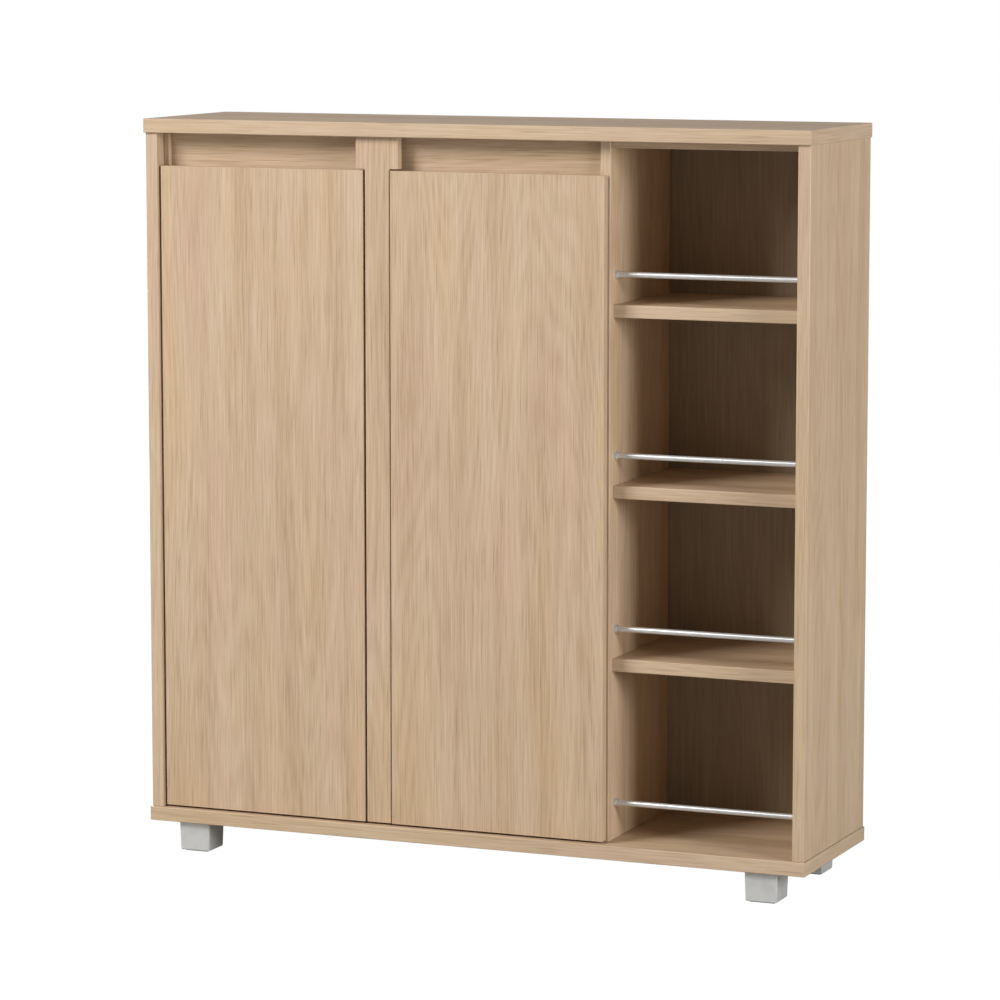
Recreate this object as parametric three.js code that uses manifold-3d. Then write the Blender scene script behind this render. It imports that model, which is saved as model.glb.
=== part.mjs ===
// Shoe cabinet: two tall hinged doors beside an open column of shoe shelves, on four metal feet.
// Millimetres. +X is to the right of someone facing the doors, -Y is the front, +Z is up.
// The origin is on the floor, under the middle of the cabinet.
import * as THREE from "three";
import { mergeVertices } from "three/addons/utils/BufferGeometryUtils.js";
import Module from "manifold-3d";

// Overall size, over the top panel.
const WIDTH = 1000;
const DEPTH = 266;
const FOOT_HEIGHT = 42.5;
const GLIDE_HEIGHT = 1.5;
const CASE_HEIGHT = 1016;

// Board thicknesses.
const CAP_BOARD = 20; // top and bottom panels
const SIDE_BOARD = 18;
const SHELF_BOARD = 18;
const THIN_BOARD = 15; // doors, divider, partition, rail and inner shelves
const STRIP_BOARD = 9;
const BACK_BOARD = 3;

const JOINT_GAP = 0.3; // left between boards that meet
const EASE = 0.8; // small flat on the long edges of every board
const REBATE_WIDTH = 12; // step that the back boards sit in
const REBATE_DEPTH = 4.5;

// How far each part stands back from the front face of the top panel.
const SIDE_SETBACK = 4;
const DOOR_SETBACK = 9;
const STILE_SETBACK = DOOR_SETBACK + 1.5;
const STOP_SETBACK = DOOR_SETBACK + THIN_BOARD + 1.5;
const RAIL_SETBACK = STOP_SETBACK + STRIP_BOARD;
const DIVIDER_SETBACK = 26;
const SHELF_SETBACK = 40;
const ROD_SETBACK = 50;
const INNER_SHELF_SETBACK = 52;

// Distances from the left end of the top panel.
const SIDE_INSET = 1.5;
const LEFT_DOOR = { from: 22, to: 338 };
const RIGHT_DOOR = { from: 380, to: 700.5 };
const STILE_HEAD = { from: 327, to: 391.5 };
const STILE_SHANK = { from: 341, to: 378.5 };
const PARTITION_FROM = 352;
const DIVIDER_FROM = 688;
const STRIP_WIDTH = 8.5;

// Heights above the underside of the bottom panel.
const DOOR_FROM = 23;
const DOOR_TO = 949;
const STILE_HEAD_FROM = DOOR_TO + 2.5;
const RAIL_FROM = 930;
const COLUMN_SHELF_TOPS = [277, 519.5, 770.6];
const INNER_SHELF_TOPS = [262, 492, 722];
const LINTEL_HEIGHT = 10;

// Shoe rods.
const ROD_DIAMETER = 8;
const ROD_ABOVE_SHELF = 41;
const ROD_ABOVE_FLOOR = 52;
const SOCKET_DIAMETER = 12;
const SOCKET_LENGTH = 4;

// Feet.
const FOOT_WIDTH = 48;
const FOOT_DEPTH = 50;
const FOOT_TAPER = 0.94; // size at the floor over size at the top
const FOOT_INSET_X = 42;
const FOOT_INSET_Y = 9;
const GLIDE_SIDE = 36;

// Concealed hinges.
const HINGE_HEIGHTS = [110, 862];
const CUP_DIAMETER = 35;
const CUP_DEPTH = 11.3;
const CUP_WALL = 0.9;
const CUP_FROM_EDGE = 22; // door edge to cup centre
const CUP_CLEARANCE = 0.3;
const FLANGE_THICKNESS = 1.2;
const FLANGE_HEIGHT = 52;
const FLANGE_WIDTH = 18;
const ARM_WIDTH = 15;
const ARM_DEPTH = 8.5;
const ARM_END = 84; // setback of the arm's rear end
const NOSE_SETBACK = 27.5;
const PLATE_FROM = 48;
const PLATE_TO = 83;

// Door bumpers.
const BUMPER_DIAMETER = 8;
const BUMPER_HEIGHT = 1.2;
const BUMPER_FROM_EDGE = 6;
const BUMPER_FROM_END = 30;

const wasm = await Module();
wasm.setup();

const left = -WIDTH / 2;
const front = -DEPTH / 2;
const back = DEPTH / 2;
const base = FOOT_HEIGHT + GLIDE_HEIGHT;
const caseTop = base + CASE_HEIGHT;
const innerFloor = base + CAP_BOARD;
const innerTop = caseTop - CAP_BOARD;
const rebateFace = back - REBATE_DEPTH;
const sideInnerLeft = left + SIDE_INSET + SIDE_BOARD;
const sideInnerRight = -sideInnerLeft;
const dividerLeft = left + DIVIDER_FROM;
const dividerRight = dividerLeft + THIN_BOARD;
const partitionLeft = left + PARTITION_FROM;
const partitionRight = partitionLeft + THIN_BOARD;

const cabinet = new THREE.Group();

/** A finish shared by the meshes of one kind. */
function finish(color, roughness, metalness) {
  return { color, roughness, metalness };
}

const OAK = finish("#c9ae8f", 0.55, 0);
const OAK_INNER = finish("#bea283", 0.6, 0);
const BACKING = finish("#b39a7c", 0.7, 0);
const CHROME = finish("#d8d8d4", 0.2, 1);
const SATIN = finish("#c3c3bf", 0.4, 1);
const STEEL = finish("#a9a8a3", 0.35, 1);
const NYLON = finish("#cfccc4", 0.5, 0);
const CLEAR_RUBBER = finish("#dcdcd8", 0.6, 0);

/** Adds one named mesh with a material of its own to a group. */
function add(name, geometry, look, parent = cabinet) {
  const mesh = new THREE.Mesh(geometry, new THREE.MeshStandardMaterial(look));
  mesh.name = name;
  parent.add(mesh);
  return mesh;
}

/** Turns a closed geometry into a solid that can be joined and cut. */
function solid(geometry) {
  const plain = geometry.clone();
  plain.deleteAttribute("normal");
  plain.deleteAttribute("uv");
  const merged = mergeVertices(plain, 1e-4);
  return new wasm.Manifold(
    new wasm.Mesh({
      numProp: 3,
      vertProperties: merged.attributes.position.array,
      triVerts: new Uint32Array(merged.index.array),
    }),
  );
}

/** Turns a solid back into a geometry. */
function geometryOf(made) {
  const mesh = made.getMesh();
  const geometry = new THREE.BufferGeometry();
  geometry.setAttribute("position", new THREE.BufferAttribute(mesh.vertProperties, 3));
  geometry.setIndex(new THREE.BufferAttribute(mesh.triVerts, 1));
  return geometry;
}

/** The geometry of one shape with others joined to it and others cut away. */
function shaped(start, { joined = [], cut = [] }) {
  let made = solid(start);
  for (const piece of joined) made = made.add(solid(piece));
  for (const piece of cut) made = made.subtract(solid(piece));
  return geometryOf(made);
}

/** A sharp box between two corners. */
function box(x0, x1, y0, y1, z0, z1) {
  const geometry = new THREE.BoxGeometry(x1 - x0, y1 - y0, z1 - z0);
  return geometry.translate((x0 + x1) / 2, (y0 + y1) / 2, (z0 + z1) / 2);
}

/** A rectangle outline with a small flat across each corner. */
function easedOutline(width, height, ease) {
  const x = width / 2;
  const y = height / 2;
  return new THREE.Shape([
    new THREE.Vector2(-x + ease, -y),
    new THREE.Vector2(x - ease, -y),
    new THREE.Vector2(x, -y + ease),
    new THREE.Vector2(x, y - ease),
    new THREE.Vector2(x - ease, y),
    new THREE.Vector2(-x + ease, y),
    new THREE.Vector2(-x, y - ease),
    new THREE.Vector2(-x, -y + ease),
  ]);
}

/** A board between two corners, eased along its edges that run the way of `along`. */
function board(along, x0, x1, y0, y1, z0, z1) {
  const size = new THREE.Vector3(x1 - x0, y1 - y0, z1 - z0);
  const options = { bevelEnabled: false };
  let geometry;
  if (along === "x") {
    options.depth = size.x;
    geometry = new THREE.ExtrudeGeometry(easedOutline(size.y, size.z, EASE), options);
    geometry.rotateX(Math.PI / 2).rotateZ(Math.PI / 2);
  } else {
    options.depth = size.z;
    geometry = new THREE.ExtrudeGeometry(easedOutline(size.x, size.y, EASE), options);
  }
  geometry.computeBoundingBox();
  const low = geometry.boundingBox.min;
  return geometry.translate(x0 - low.x, y0 - low.y, z0 - low.z);
}

/** A round bar along Y, from its front end. */
function barAlongY(diameter, x, y, z, length, sides) {
  const geometry = new THREE.CylinderGeometry(diameter / 2, diameter / 2, length, sides);
  return geometry.translate(x, y + length / 2, z);
}

// ---- Top, bottom and sides ----

function addCase() {
  const topUnder = caseTop - CAP_BOARD;
  add(
    "top_panel",
    shaped(board("x", left, -left, front, back, topUnder, caseTop), {
      cut: [
        box(
          sideInnerLeft - REBATE_WIDTH,
          sideInnerRight + REBATE_WIDTH,
          rebateFace,
          back + 1,
          topUnder - 1,
          topUnder + REBATE_WIDTH,
        ),
      ],
    }),
    OAK,
  );
  add(
    "bottom_panel",
    shaped(board("x", left, -left, front, back, base, innerFloor), {
      cut: [
        box(
          sideInnerLeft - REBATE_WIDTH,
          sideInnerRight + REBATE_WIDTH,
          rebateFace,
          back + 1,
          innerFloor - REBATE_WIDTH,
          innerFloor + 1,
        ),
      ],
    }),
    OAK,
  );
  const sides = [
    ["left_side_panel", left + SIDE_INSET, sideInnerLeft, sideInnerLeft - REBATE_WIDTH],
    ["right_side_panel", sideInnerRight, -left - SIDE_INSET, sideInnerRight],
  ];
  for (const [name, x0, x1, rebateFrom] of sides) {
    const y0 = front + SIDE_SETBACK;
    const panel = board("z", x0, x1, y0, back - 1, innerFloor + JOINT_GAP, innerTop - JOINT_GAP);
    const rebateX0 = name === "left_side_panel" ? rebateFrom : x0 - 1;
    const rebateX1 = name === "left_side_panel" ? x1 + 1 : rebateFrom + REBATE_WIDTH;
    const step = box(rebateX0, rebateX1, rebateFace, back + 1, innerFloor - 1, innerTop + 1);
    add(name, shaped(panel, { cut: [step] }), OAK);
  }
}

// ---- Upright boards between the sides ----

function addUprights() {
  const z0 = innerFloor + JOINT_GAP;
  const z1 = innerTop - JOINT_GAP;
  const rear = rebateFace - JOINT_GAP;
  const divider = board("z", dividerLeft, dividerRight, front + DIVIDER_SETBACK, rear, z0, z1);
  add("column_divider", divider, OAK);

  // The partition is notched for the finger rail, which runs past it in one length.
  const partition = board(
    "z",
    partitionLeft,
    partitionRight,
    front + RAIL_SETBACK + JOINT_GAP,
    rear,
    z0,
    z1,
  );
  const railRear = front + RAIL_SETBACK + THIN_BOARD;
  const notch = box(
    partitionLeft - 1,
    partitionRight + 1,
    front,
    railRear + JOINT_GAP,
    base + RAIL_FROM - JOINT_GAP,
    caseTop,
  );
  add("centre_partition", shaped(partition, { cut: [notch] }), OAK_INNER);
}

// ---- The stile between the doors, what the doors close on, and the finger rail ----

function addFrontFrame() {
  const stileFace = front + STILE_SETBACK;
  const stileRear = front + STOP_SETBACK - JOINT_GAP;
  const headFloor = base + STILE_HEAD_FROM;
  const stile = shaped(
    board(
      "z",
      left + STILE_SHANK.from,
      left + STILE_SHANK.to,
      stileFace,
      stileRear,
      base + DOOR_FROM,
      innerTop - JOINT_GAP,
    ),
    {
      joined: [
        board(
          "z",
          left + STILE_HEAD.from,
          left + STILE_HEAD.to,
          stileFace,
          stileRear,
          headFloor,
          innerTop - JOINT_GAP,
        ),
      ],
    },
  );
  add("centre_stile", stile, OAK);

  const stopFace = front + STOP_SETBACK;
  const stopRear = front + RAIL_SETBACK - JOINT_GAP;
  const stopTop = base + DOOR_TO - 4;
  add(
    "stile_backer",
    board(
      "z",
      left + STILE_HEAD.from,
      left + STILE_HEAD.to,
      stopFace,
      stopRear,
      innerFloor + JOINT_GAP,
      stopTop,
    ),
    OAK,
  );
  add(
    "left_stop_strip",
    board(
      "z",
      sideInnerLeft + JOINT_GAP,
      sideInnerLeft + STRIP_WIDTH,
      stopFace,
      stopRear,
      innerFloor + JOINT_GAP,
      innerTop - JOINT_GAP,
    ),
    OAK,
  );
  const railFace = front + RAIL_SETBACK;
  add(
    "finger_rail",
    board(
      "x",
      sideInnerLeft + JOINT_GAP,
      dividerLeft - JOINT_GAP,
      railFace,
      railFace + THIN_BOARD,
      base + RAIL_FROM,
      innerTop - JOINT_GAP,
    ),
    OAK,
  );
  add(
    "column_lintel",
    board(
      "x",
      dividerRight + JOINT_GAP,
      sideInnerRight - JOINT_GAP,
      front + DIVIDER_SETBACK + 4,
      front + DIVIDER_SETBACK + 4 + SIDE_BOARD,
      innerTop - LINTEL_HEIGHT,
      innerTop - JOINT_GAP,
    ),
    OAK,
  );
}

// ---- Back boards, lying in the rebates ----

function addBacks() {
  const seam = (dividerLeft + dividerRight) / 2;
  const reach = REBATE_WIDTH - 1;
  const spans = [
    ["door_section_back", sideInnerLeft - reach, seam - JOINT_GAP],
    ["column_back", seam + JOINT_GAP, sideInnerRight + reach],
  ];
  for (const [name, x0, x1] of spans) {
    const y0 = rebateFace + JOINT_GAP;
    const panel = box(x0, x1, y0, y0 + BACK_BOARD, innerFloor - reach, innerTop + reach);
    add(name, panel, BACKING);
  }
}

// ---- Shelves ----

function addColumnShelves() {
  COLUMN_SHELF_TOPS.forEach((height, i) => {
    const top = base + height;
    add(
      `column_shelf_${i + 1}`,
      board(
        "x",
        dividerRight + JOINT_GAP,
        sideInnerRight - JOINT_GAP,
        front + SHELF_SETBACK,
        rebateFace - JOINT_GAP,
        top - SHELF_BOARD,
        top,
      ),
      OAK,
    );
  });
}

function addInnerShelves() {
  const play = 1; // loose shelves lie on pins with a little room at each end
  const bays = [
    ["left_inner_shelf", sideInnerLeft + play, partitionLeft - play],
    ["right_inner_shelf", partitionRight + play, dividerLeft - play],
  ];
  for (const [name, x0, x1] of bays) {
    INNER_SHELF_TOPS.forEach((height, i) => {
      const top = base + height;
      const shelf = board(
        "x",
        x0,
        x1,
        front + INNER_SHELF_SETBACK,
        rebateFace - play,
        top - THIN_BOARD,
        top,
      );
      add(`${name}_${i + 1}`, shelf, OAK_INNER);
    });
  }
}

// ---- Shoe rods and their sockets ----

function addRods() {
  const heights = [CAP_BOARD + ROD_ABOVE_FLOOR];
  for (const top of COLUMN_SHELF_TOPS) heights.push(top + ROD_ABOVE_SHELF);
  const y = front + ROD_SETBACK;
  const ends = [
    ["left", dividerRight + JOINT_GAP],
    ["right", sideInnerRight - JOINT_GAP - SOCKET_LENGTH],
  ];
  const rodFrom = dividerRight + 1;
  const rodTo = sideInnerRight - 1;
  heights.forEach((height, i) => {
    const z = base + height;
    const rod = new THREE.CylinderGeometry(
      ROD_DIAMETER / 2,
      ROD_DIAMETER / 2,
      rodTo - rodFrom,
      20,
    );
    rod.rotateZ(Math.PI / 2).translate((rodFrom + rodTo) / 2, y, z);
    add(`shoe_rod_${i + 1}`, rod, CHROME);
    for (const [side, x] of ends) {
      const outer = SOCKET_DIAMETER / 2;
      const inner = ROD_DIAMETER / 2 + JOINT_GAP;
      const profile = [
        new THREE.Vector2(inner, 0),
        new THREE.Vector2(outer, 0),
        new THREE.Vector2(outer, SOCKET_LENGTH - 1),
        new THREE.Vector2(outer - 1, SOCKET_LENGTH),
        new THREE.Vector2(inner, SOCKET_LENGTH),
        new THREE.Vector2(inner, 0),
      ];
      const ring = new THREE.LatheGeometry(profile, 20);
      // The chamfered mouth of each socket faces the rod's middle.
      ring.rotateZ(side === "left" ? -Math.PI / 2 : Math.PI / 2);
      ring.translate(side === "left" ? x : x + SOCKET_LENGTH, y, z);
      add(`rod_socket_${side}_${i + 1}`, ring, CHROME);
    }
  });
}

// ---- Feet ----

/** A square block that narrows towards the floor, with its bottom corners eased. */
function footBlock() {
  const ease = 2.5;
  const outline = easedOutline(FOOT_WIDTH - 2 * ease, FOOT_DEPTH - 2 * ease, 1);
  const block = new THREE.ExtrudeGeometry(outline, {
    depth: FOOT_HEIGHT - JOINT_GAP - 2 * ease,
    bevelEnabled: true,
    bevelThickness: ease,
    bevelSize: ease,
    bevelSegments: 2,
  });
  block.translate(0, 0, ease);
  const points = block.attributes.position;
  const height = FOOT_HEIGHT - JOINT_GAP;
  for (let i = 0; i < points.count; i += 1) {
    const share = points.getZ(i) / height;
    const scale = FOOT_TAPER + (1 - FOOT_TAPER) * share;
    points.setXY(i, points.getX(i) * scale, points.getY(i) * scale);
  }
  return block;
}

function addFeet() {
  const x = WIDTH / 2 - FOOT_INSET_X - FOOT_WIDTH / 2;
  const y = DEPTH / 2 - FOOT_INSET_Y - FOOT_DEPTH / 2;
  const corners = [
    ["front_left", -x, -y],
    ["front_right", x, -y],
    ["rear_left", -x, y],
    ["rear_right", x, y],
  ];
  for (const [corner, footX, footY] of corners) {
    add(`${corner}_foot`, footBlock(), SATIN).position.set(footX, footY, GLIDE_HEIGHT);
    const half = GLIDE_SIDE / 2;
    const glide = box(-half, half, -half, half, 0, GLIDE_HEIGHT - JOINT_GAP);
    add(`${corner}_glide`, glide, NYLON).position.set(footX, footY, 0);
  }
}

// ---- Doors, hinges and bumpers ----

/**
 * Which way each door hangs. `edge` is its hinge edge, `into` points from that edge into the
 * door, and `mount` is the face that the mounting plate is screwed to. `plate` is the plate's
 * thickness, and `crank` how far the arm's nose steps away from the arm.
 */
const HANGINGS = [
  {
    side: "left",
    edge: left + LEFT_DOOR.from,
    free: left + LEFT_DOOR.to,
    into: 1,
    mount: sideInnerLeft,
    plate: 6,
    crank: 4.7,
  },
  {
    side: "right",
    edge: left + RIGHT_DOOR.to,
    free: left + RIGHT_DOOR.from,
    into: -1,
    mount: dividerLeft,
    plate: 4,
    crank: 0,
  },
];

function addDoor({ side, edge, free, into }) {
  const doorFace = front + DOOR_SETBACK;
  const doorBack = doorFace + THIN_BOARD;
  const slab = board(
    "z",
    Math.min(edge, free),
    Math.max(edge, free),
    doorFace,
    doorBack,
    base + DOOR_FROM,
    base + DOOR_TO,
  );
  const bores = HINGE_HEIGHTS.map((height) =>
    barAlongY(
      CUP_DIAMETER + 2 * CUP_CLEARANCE,
      edge + into * CUP_FROM_EDGE,
      doorBack - CUP_DEPTH - CUP_CLEARANCE,
      base + height,
      CUP_DEPTH + CUP_CLEARANCE + 1,
      40,
    ),
  );
  add(`${side}_door`, shaped(slab, { cut: bores }), OAK);

  const bumperX = free - into * BUMPER_FROM_EDGE;
  const ends = [
    ["lower", DOOR_FROM + BUMPER_FROM_END],
    ["upper", DOOR_TO - BUMPER_FROM_END],
  ];
  for (const [end, height] of ends) {
    const dot = barAlongY(
      BUMPER_DIAMETER,
      bumperX,
      doorBack + 0.1,
      base + height,
      BUMPER_HEIGHT - 0.1,
      20,
    );
    add(`${side}_${end}_bumper`, dot, CLEAR_RUBBER);
  }
}

/** The pressed cup in the door's back, with the flange that its screws go through. */
function hingeCup(x, z) {
  const doorBack = front + DOOR_SETBACK + THIN_BOARD;
  const bottom = doorBack - CUP_DEPTH;
  const can = barAlongY(CUP_DIAMETER, x, bottom, z, CUP_DEPTH + FLANGE_THICKNESS, 40);
  const flange = box(
    x - FLANGE_WIDTH / 2,
    x + FLANGE_WIDTH / 2,
    doorBack + 0.1,
    doorBack + FLANGE_THICKNESS,
    z - FLANGE_HEIGHT / 2,
    z + FLANGE_HEIGHT / 2,
  );
  const hollow = barAlongY(
    CUP_DIAMETER - 2 * CUP_WALL,
    x,
    bottom + CUP_WALL,
    z,
    CUP_DEPTH + FLANGE_THICKNESS,
    40,
  );
  return shaped(can, { joined: [flange], cut: [hollow] });
}

/** The arm, seen along Z: a bar on the plate whose nose may step towards the door. */
function hingeArm({ mount, into, plate, crank }, z) {
  const foot = mount + into * (plate + JOINT_GAP);
  const at = (out, setback) => new THREE.Vector2(foot + into * out, front + setback);
  const outline = new THREE.Shape([
    at(0, ARM_END),
    at(ARM_DEPTH, ARM_END),
    at(ARM_DEPTH, NOSE_SETBACK + 15),
    at(ARM_DEPTH + crank, NOSE_SETBACK + 8),
    at(ARM_DEPTH + crank, NOSE_SETBACK),
    at(crank, NOSE_SETBACK),
    at(crank, NOSE_SETBACK + 10),
    at(0, NOSE_SETBACK + 17),
  ]);
  const arm = new THREE.ExtrudeGeometry(outline, { depth: ARM_WIDTH, bevelEnabled: false });
  return arm.translate(0, 0, z - ARM_WIDTH / 2);
}

/** The mounting plate: a block under the arm with a wing above and below for its screws. */
function hingePlate({ mount, into, plate }, z) {
  const face = mount + into * 0.1;
  const spans = [
    [plate, PLATE_FROM, PLATE_TO, ARM_WIDTH / 2 - 1],
    [2, PLATE_FROM + 10, PLATE_TO - 10, 24],
  ];
  const [block, wings] = spans.map(([thickness, from, to, halfHeight]) => {
    const top = mount + into * thickness;
    return box(
      Math.min(face, top),
      Math.max(face, top),
      front + from,
      front + to,
      z - halfHeight,
      z + halfHeight,
    );
  });
  return shaped(block, { joined: [wings] });
}

function addHinges(hanging) {
  const { side, edge, into } = hanging;
  const ends = ["lower", "upper"];
  HINGE_HEIGHTS.forEach((height, i) => {
    const z = base + height;
    const name = `${side}_${ends[i]}`;
    add(`${name}_hinge_cup`, hingeCup(edge + into * CUP_FROM_EDGE, z), STEEL);
    add(`${name}_hinge_arm`, hingeArm(hanging, z), STEEL);
    add(`${name}_hinge_plate`, hingePlate(hanging, z), STEEL);
  });
}

addCase();
addUprights();
addFrontFrame();
addBacks();
addColumnShelves();
addInnerShelves();
addRods();
addFeet();
for (const hanging of HANGINGS) {
  addDoor(hanging);
  addHinges(hanging);
}

export default cabinet;
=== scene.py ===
"""Looks of a shoe cabinet: two oak-print doors beside an open column of shelves, on metal block feet.

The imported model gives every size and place. Boards are rebuilt from the CAD solids with rounded edges,
edge bands and a grain that runs the right way on every face. Hardware is modelled in full: concealed
hinges, shelf pins, shoe rods with their sockets, cam caps and the screws of the back boards.
"""

import logging
import math
from dataclasses import dataclass, field
from enum import Enum

import bmesh
import bpy
from mathutils import Matrix, Vector


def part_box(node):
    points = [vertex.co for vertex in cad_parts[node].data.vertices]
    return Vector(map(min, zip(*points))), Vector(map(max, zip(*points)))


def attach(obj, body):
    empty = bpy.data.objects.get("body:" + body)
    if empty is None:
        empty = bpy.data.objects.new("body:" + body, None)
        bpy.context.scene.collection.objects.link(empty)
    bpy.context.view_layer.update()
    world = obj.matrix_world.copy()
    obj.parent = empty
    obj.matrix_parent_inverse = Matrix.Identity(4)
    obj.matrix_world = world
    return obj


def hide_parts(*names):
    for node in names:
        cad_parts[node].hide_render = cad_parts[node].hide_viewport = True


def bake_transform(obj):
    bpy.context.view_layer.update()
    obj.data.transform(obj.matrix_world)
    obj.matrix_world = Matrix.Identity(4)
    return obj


Tree = bpy.types.NodeTree
Socket = bpy.types.NodeSocket
Mesh = bmesh.types.BMesh
Face = bmesh.types.BMFace
Piece = bpy.types.Object

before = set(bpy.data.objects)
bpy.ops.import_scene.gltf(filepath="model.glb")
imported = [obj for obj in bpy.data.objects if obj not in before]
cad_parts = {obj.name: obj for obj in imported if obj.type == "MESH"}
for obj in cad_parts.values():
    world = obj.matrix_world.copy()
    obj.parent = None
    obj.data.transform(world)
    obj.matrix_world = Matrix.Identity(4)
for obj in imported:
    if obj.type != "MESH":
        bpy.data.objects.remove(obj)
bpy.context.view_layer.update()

MM = 0.001
GRAIN = "grain"  # the face-corner attribute that carries the grain's coordinates, in metres

log = logging.getLogger("shoe_cabinet")


# ---- Colours and nodes ----


def linear(hex_colour: str) -> tuple[float, float, float, float]:
    """Turns an sRGB hex colour to linear.

    Args:
        hex_colour: six hex digits, with or without a leading #.

    Returns:
        Linear red, green and blue, and an alpha of 1.
    """
    digits = hex_colour.lstrip("#")
    channels = [int(digits[i : i + 2], 16) / 255 for i in (0, 2, 4)]
    red, green, blue = (c / 12.92 if c <= 0.04045 else ((c + 0.055) / 1.055) ** 2.4 for c in channels)
    return red, green, blue, 1.0


def add_node(
    tree: Tree,
    kind: str,
    settings: dict[str | int, object] | None = None,
    links: dict[str | int, Socket] | None = None,
) -> bpy.types.Node:
    """Adds one node with its settings and the links into it.

    Args:
        tree: the node tree that gets the node.
        kind: the node's type without its ShaderNode prefix.
        settings: values by property name, or else by input name or index.
        links: output sockets by the input's name or index.

    Returns:
        The new node.
    """
    node = tree.nodes.new("ShaderNode" + kind)
    for key, value in (settings or {}).items():
        if isinstance(key, str) and key in node.bl_rna.properties:
            setattr(node, key, value)
        else:
            node.inputs[key].default_value = value
    for key, output in (links or {}).items():
        tree.links.new(output, node.inputs[key])
    return node


class Nodes:
    """A new material with one Principled shader, and the steps that the finishes share."""

    def __init__(self, name: str) -> None:
        """Makes the material.

        Args:
            name: the real material and how its surface was made.
        """
        self.material = bpy.data.materials.new(name)
        self.material.use_nodes = True
        self.tree = self.material.node_tree
        self.shader = self.tree.nodes["Principled BSDF"]

    def coordinates(self) -> Socket:
        """The piece's own coordinates, in metres."""
        return add_node(self.tree, "TexCoord").outputs["Object"]

    def noise(self, coords: Socket, waves: float | tuple, detail: float, roughness: float = 0.5) -> Socket:
        """One layer of noise.

        Args:
            coords: coordinates in metres.
            waves: waves per metre, one number or one for each axis.
            detail: finer layers on top.
            roughness: how strong the finer layers are.

        Returns:
            The noise, around 0.5.
        """
        if isinstance(waves, tuple):
            coords = add_node(self.tree, "Mapping", {"Scale": waves}, {"Vector": coords}).outputs[0]
            waves = 1.0
        settings = {"Scale": waves, "Detail": detail, "Roughness": roughness}
        return add_node(self.tree, "TexNoise", settings, {"Vector": coords}).outputs[0]

    def scaled(self, value: Socket, factor: float, plus: float | Socket = 0.0) -> Socket:
        """Multiplies a value and adds to it.

        Args:
            value: the value.
            factor: what it is multiplied by.
            plus: the number or the other value that is added.

        Returns:
            The result.
        """
        settings = {"operation": "MULTIPLY_ADD", 1: factor}
        links = {0: value}
        (links if isinstance(plus, Socket) else settings)[2] = plus
        return add_node(self.tree, "Math", settings, links).outputs[0]

    def share(self, value: Socket, low: float, high: float, most: float = 1.0) -> Socket:
        """Turns a range of a value into a share.

        Args:
            value: the value.
            low: where the share is 0.
            high: where it is at its most.
            most: the greatest share.

        Returns:
            The share.
        """
        settings = {"From Min": low, "From Max": high, "To Max": most}
        return add_node(self.tree, "MapRange", settings, {"Value": value}).outputs["Result"]

    def mix(self, share: Socket, base: str | Socket, other: str, blend: str = "MIX") -> Socket:
        """Mixes a colour into another.

        Args:
            share: how much of the other colour there is.
            base: the first colour, as hex or as a socket.
            other: the other colour, as hex.
            blend: how they mix.

        Returns:
            The mixed colour.
        """
        settings = {"data_type": "RGBA", "blend_type": blend, 7: linear(other)}
        links = {0: share}
        if isinstance(base, str):
            settings[6] = linear(base)
        else:
            links[6] = base
        return add_node(self.tree, "Mix", settings, links).outputs[2]

    def finish(
        self, colour: Socket, roughness: float | Socket, height: Socket, strength: float, relief_mm: float
    ) -> bpy.types.Material:
        """Connects the shader.

        Args:
            colour: the base colour.
            roughness: the roughness, the same all over or a socket.
            height: the relief's height.
            strength: how strongly it shows.
            relief_mm: its depth, in millimetres.

        Returns:
            The material.
        """
        settings = {"Strength": strength, "Distance": relief_mm * MM}
        bump = add_node(self.tree, "Bump", settings, {"Height": height})
        self.tree.links.new(colour, self.shader.inputs["Base Color"])
        self.tree.links.new(bump.outputs[0], self.shader.inputs["Normal"])
        if isinstance(roughness, Socket):
            self.tree.links.new(roughness, self.shader.inputs["Roughness"])
        else:
            self.shader.inputs["Roughness"].default_value = roughness
        return self.material


# ---- Finishes ----


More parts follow.
